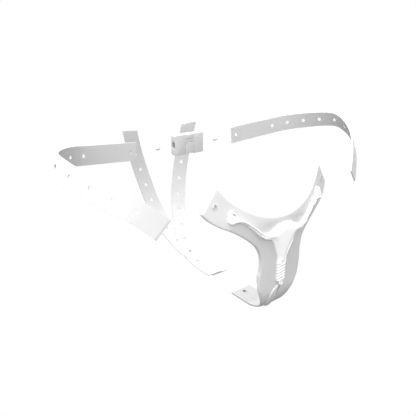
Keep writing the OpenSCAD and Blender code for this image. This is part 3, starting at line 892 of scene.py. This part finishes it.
def strap(name, route, holes, mirrored, start=(0, 0)):
    """start is where each corner of the strap's first end lies along the route."""
    w = STRAP_W / 2
    outline = [(start[0], -w), (route.total, -w), (route.total, w), (start[1], w)]
    half = STRAP_T / 2 + STRAP_SWELL
    piece = prism(name, outline, -half, half)
    punch(piece, [(d, 0) for d in holes], STRAP_HOLE_R)
    round_edges(piece, 0.1, 1)
    slice_up(piece, 2.5, 3)
    d, across, out = points_of(piece).T / mm
    points = route.place(np.clip(d, 0, route.total), across, out)
    if mirrored:
        points[:, 0] *= -1
    set_points(piece, points * mm)
    only(piece)
    bpy.ops.object.mode_set(mode="EDIT")
    bpy.ops.mesh.select_all(action="SELECT")
    bpy.ops.mesh.normals_make_consistent(inside=False)
    bpy.ops.object.mode_set(mode="OBJECT")
    smooth(piece)
    return piece


ring_route = Route(
    [(63, 72, 0.8), (90, 70.2, 3.2), (119.5, 65, 6.6), (137, 55.4, 10.2), (152, 39.5, 13.6),
     (164, 21, 16.4), (167.6, 6, 16.8), (163.6, -10.5, 12.2), (154.6, -26, 5.8), (143.6, -39, -2.2),
     (130.6, -50.4, -11.4), (115.6, -61.4, -26.2)], (0, 0, 1), (-0.88, -0.17, 1))
RING_PITCH = 19.1
REAR_PITCH = 19.9
ring_holes = [6.7] + [59.6 + RING_PITCH * k for k in range(9)]
for side in ("left", "right"):
    piece = strap(f"ring_strap_{side}_band", ring_route, ring_holes, side == "left")
    hand_over(piece, strap_finish, f"ring_strap_{side}", "strap", f"ring_strap_{side}")

# The left rear strap passes under the right one near their lower ends.
rear_points = [
    (43.4, 124.4, 23), (40.4, 125.4, 10.8), (34.8, 127.6, -13), (28.7, 127.2, -36.6),
    (23.7, 124.8, -55.6), (19.1, 120.4, -74.2), (14.2, 112.8, -92), (9.9, 101.2, -108.6),
    (4.4, 86.6, -121.6), (0.8, 70.6, -130), (-1.6, 52, -134), (-2.6, 34, -134.4), (-3, 17, -134.3)]
UNDER = STRAP_T + STRAP_W / 32
drop = (0, 0, 0, 0, 0.2, 0.5, 0.8, 1, 1, 1, 1, 1, 1)
away = [(0, 1, 0)] * 5 + [
    (0, 0.97, -0.25), (0, 0.9, -0.44), (0, 0.75, -0.66), (0, 0.57, -0.82), (0, 0.35, -0.94), (0, 0.1, -1),
    (0, 0, -1), (0, 0, -1)]
under_points = [np.array(p) + UNDER * f * np.array(a) for p, f, a in zip(rear_points, drop, away)]
TOP_TILT = math.radians(7)


def level_start(route):
    """Where each corner of a rear strap's top end must lie for the end to be cut near level."""
    d = np.linspace(0, 30, 400)
    starts = []
    for across in (-STRAP_W / 2, STRAP_W / 2):
        edge = route.place(d, np.full_like(d, across), np.zeros_like(d))
        top_x, _, top_z = rear_points[1]
        above = (edge[:, 2] - top_z) * math.cos(TOP_TILT) - (edge[:, 0] - top_x) * math.sin(TOP_TILT)
        starts.append(float(d[np.argmax(above < 0)]))
    return starts


rear_holes = [41.6 + REAR_PITCH * k for k in range(9)]
for side, points in (("left", under_points), ("right", rear_points)):
    route = Route(points, (1, -0.15, 0.11), (1, 0, 0))
    piece = strap(f"rear_strap_{side}_band", route, rear_holes, side == "left", level_start(route))
    hand_over(piece, strap_finish, "rear_straps", "strap", f"rear_strap_{side}")

# %% [markdown]
# ## Buckle, grommets and screws
#
# These are turned or moulded pieces whose engineering shape is already right, but its edges are
# sharp, and a real edge always has a small round that catches the light. A copy of each node is
# merged, its flat faces are made whole, and a bevel is applied. The node itself isn't touched.
# The grommets' bores are then opened a little, by moving their points away from the hole's axis.

# %% Buckle, grommets and screws
def rounded_copy(node, name, radius, segments=3):
    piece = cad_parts[node].copy()
    piece.data = piece.data.copy()
    bpy.context.collection.objects.link(piece)
    piece.parent = None
    for key in list(piece.keys()):
        del piece[key]
    piece.name = piece.data.name = name
    only(piece)
    bpy.ops.object.mode_set(mode="EDIT")
    bpy.ops.mesh.select_all(action="SELECT")
    bpy.ops.mesh.remove_doubles(threshold=0.00001)
    bpy.ops.mesh.customdata_custom_splitnormals_clear()
    bpy.ops.mesh.dissolve_limited(angle_limit=math.radians(0.6))
    bpy.ops.object.mode_set(mode="OBJECT")
    round_edges(piece, radius, segments)
    smooth(piece)
    return piece


for node, name, radius in (
        ("buckle_front_cover", "buckle_front_case", 0.25),
        ("buckle_rear_cover", "buckle_rear_case", 0.4),
        ("keeper_tab", "keeper_plate", 0.2),
        ("push_button", "button_cap", 0.25)):
    body = "button" if node == "push_button" else "buckle"
    hand_over(rounded_copy(node, name, radius), buckle_finish, body, "buckle_plastic", node)

# Points nearer a grommet's axis than the first radius are its bore, and move out to the second.
BORE_WALL_R = 1.85
OPEN_BORE_R = 2.0


def arm_axis(side):
    """A point on the axis of an arm's hole, and the axis, which is square to the shell's face."""
    x, v = ARM_HOLE
    radius = SHELL_R - ARM_LEAN * (v - BEND_Z)
    turn = math.asin(side * x / radius)
    lean = math.atan(ARM_LEAN)
    point = np.array([side * x, AXIS_Y - radius * math.cos(turn), v]) * mm
    flat = np.array([math.sin(turn), -math.cos(turn), 0]) * math.cos(lean)
    return point, flat + (0, 0, math.sin(lean))


def open_bore(ring, point, axis):
    away = points_of(ring) - point
    axial = np.outer(away @ axis, axis)
    radius = np.linalg.norm(away - axial, axis=1)
    wider = np.where(radius < BORE_WALL_R * mm, OPEN_BORE_R * mm / radius, 1)
    set_points(ring, point + axial + (away - axial) * wider[:, None])


hole_axes = {
    "arm_grommet_left": arm_axis(-1),
    "arm_grommet_right": arm_axis(1),
    "foot_grommet": (np.array([0, FOOT_HOLE_Y, FOOT_Z]) * mm, np.array([0, 0, 1]))}
for node, (point, axis) in hole_axes.items():
    ring = rounded_copy(node, node + "_turned", 0.08, 1)
    open_bore(ring, point, axis)
    only(ring)
    bpy.ops.object.shade_flat()
    hand_over(ring, shell_finish, "shell", "shell_plastic", node)
screws = rounded_copy("cover_screws", "cover_screws_turned", 0.12, 2)
hand_over(screws, metal_finish, "buckle", "metal", "cover_screws")

# %% [markdown]
# ## Catch balls
#
# Each ball has a fine line round its waist, as a ball moulded in two halves has. The line is a
# narrow ring of faces, inset and pushed in a little. A sphere alone would have no such line.

# %% Catch balls
def catch_ball(side):
    low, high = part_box(f"catch_ball_{side}")
    centre = (low + high) / 2
    radius = (high.x - low.x) / 2
    bpy.ops.object.select_all(action="DESELECT")
    bpy.ops.mesh.primitive_uv_sphere_add(segments=64, ring_count=33, radius=radius, location=centre)
    ball = bpy.context.object
    ball.name = ball.data.name = f"catch_ball_{side}_moulded"
    bpy.ops.object.transform_apply()
    bpy.ops.object.mode_set(mode="EDIT")
    bpy.ops.mesh.select_all(action="DESELECT")
    bpy.ops.object.mode_set(mode="OBJECT")
    for face in ball.data.polygons:
        face.select = abs(face.center.z - centre.z) < radius * 0.02
    bpy.ops.object.mode_set(mode="EDIT")
    bpy.ops.mesh.inset(thickness=0.00004, depth=0)
    bpy.ops.transform.resize(value=(0.975, 0.975, 1), center_override=centre)
    bpy.ops.object.mode_set(mode="OBJECT")
    smooth(ball, math.radians(30))
    hand_over(ball, ball_finish, f"ball_{side}", "ball", f"catch_ball_{side}")


catch_ball("left")
catch_ball("right")

# %% [markdown]
# ## Inner pieces
#
# The spring, the release bar, the sockets and the rivets have the right shape as they are. They
# keep their nodes and get a real finish.

# %% Inner pieces
inner = {
    "button_spring": metal_finish, "rib_rivets": metal_finish, "release_bar": dark_finish,
    "ball_socket_left": socket_finish, "ball_socket_right": socket_finish}
for node, material in inner.items():
    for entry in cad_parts[node].material_slots:
        entry.material = material
print("inner pieces:", ", ".join(inner))
